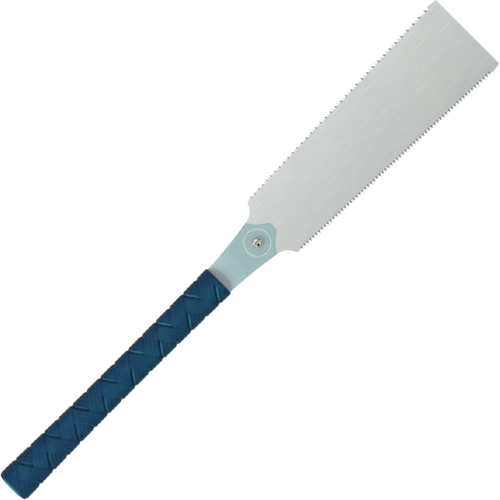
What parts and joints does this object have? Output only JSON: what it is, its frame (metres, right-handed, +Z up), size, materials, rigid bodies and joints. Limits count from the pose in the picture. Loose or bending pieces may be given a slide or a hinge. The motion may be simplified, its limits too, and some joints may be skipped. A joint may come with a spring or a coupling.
{
  "type": "hand saw",
  "caption": "Double-edged Japanese pull saw: a thin blade with rip and crosscut teeth, clamped by a screw in a sheet-metal holder on a long oval soft grip.",
  "frame": {"origin": "middle of the saw's footprint, on the surface that it lies on", "axes": "+X from the butt of the grip to the tip of the blade, +Y the rip edge, -Y the crosscut edge, +Z up, square to the flat of the blade"},
  "size_m": [0.5804, 0.0844, 0.026],
  "materials": {
    "blade_steel": "brushed along its length",
    "holder_paint": "satin pale teal coating",
    "bright_plating": "bright nickel plating",
    "rivet_steel": "plain",
    "core_plastic": "moulded",
    "grip_elastomer": "satin, moulded with a braided relief",
    "plug_plastic": "fine moulded texture"
  },
  "bodies": {
    "handle": {"front_cheek": "holder_paint", "back_cheek": "holder_paint", "slot_spacer": "holder_paint", "clinch_nut": "bright_plating", "handle_core": "core_plastic", "shank_rivets": "rivet_steel", "grip_sleeve": "grip_elastomer", "butt_plug": "plug_plastic"},
    "blade": {"saw_blade": "blade_steel"},
    "washer": {"screw_washer": "bright_plating"},
    "screw": {"clamp_screw": "bright_plating"}
  },
  "joints": [
    {"name": "blade_slide", "type": "slide", "parent": "handle", "child": "blade", "axis": [1, 0, 0], "range_m": [0, 0.06]},
    {"name": "washer_lift", "type": "slide", "parent": "handle", "child": "washer", "axis": [0, 0, 1], "range_m": [0, 0.0024]},
    {"name": "screw_turn", "type": "hinge", "parent": "washer", "child": "screw", "pos_m": [0.0217, 0, 0.013], "axis": [0, 0, 1], "range_deg": [0, 1080]}
  ],
  "couplings": [
    {"joint": "screw_turn", "follows": "washer_lift", "rad_per_m": 7854}
  ]
}
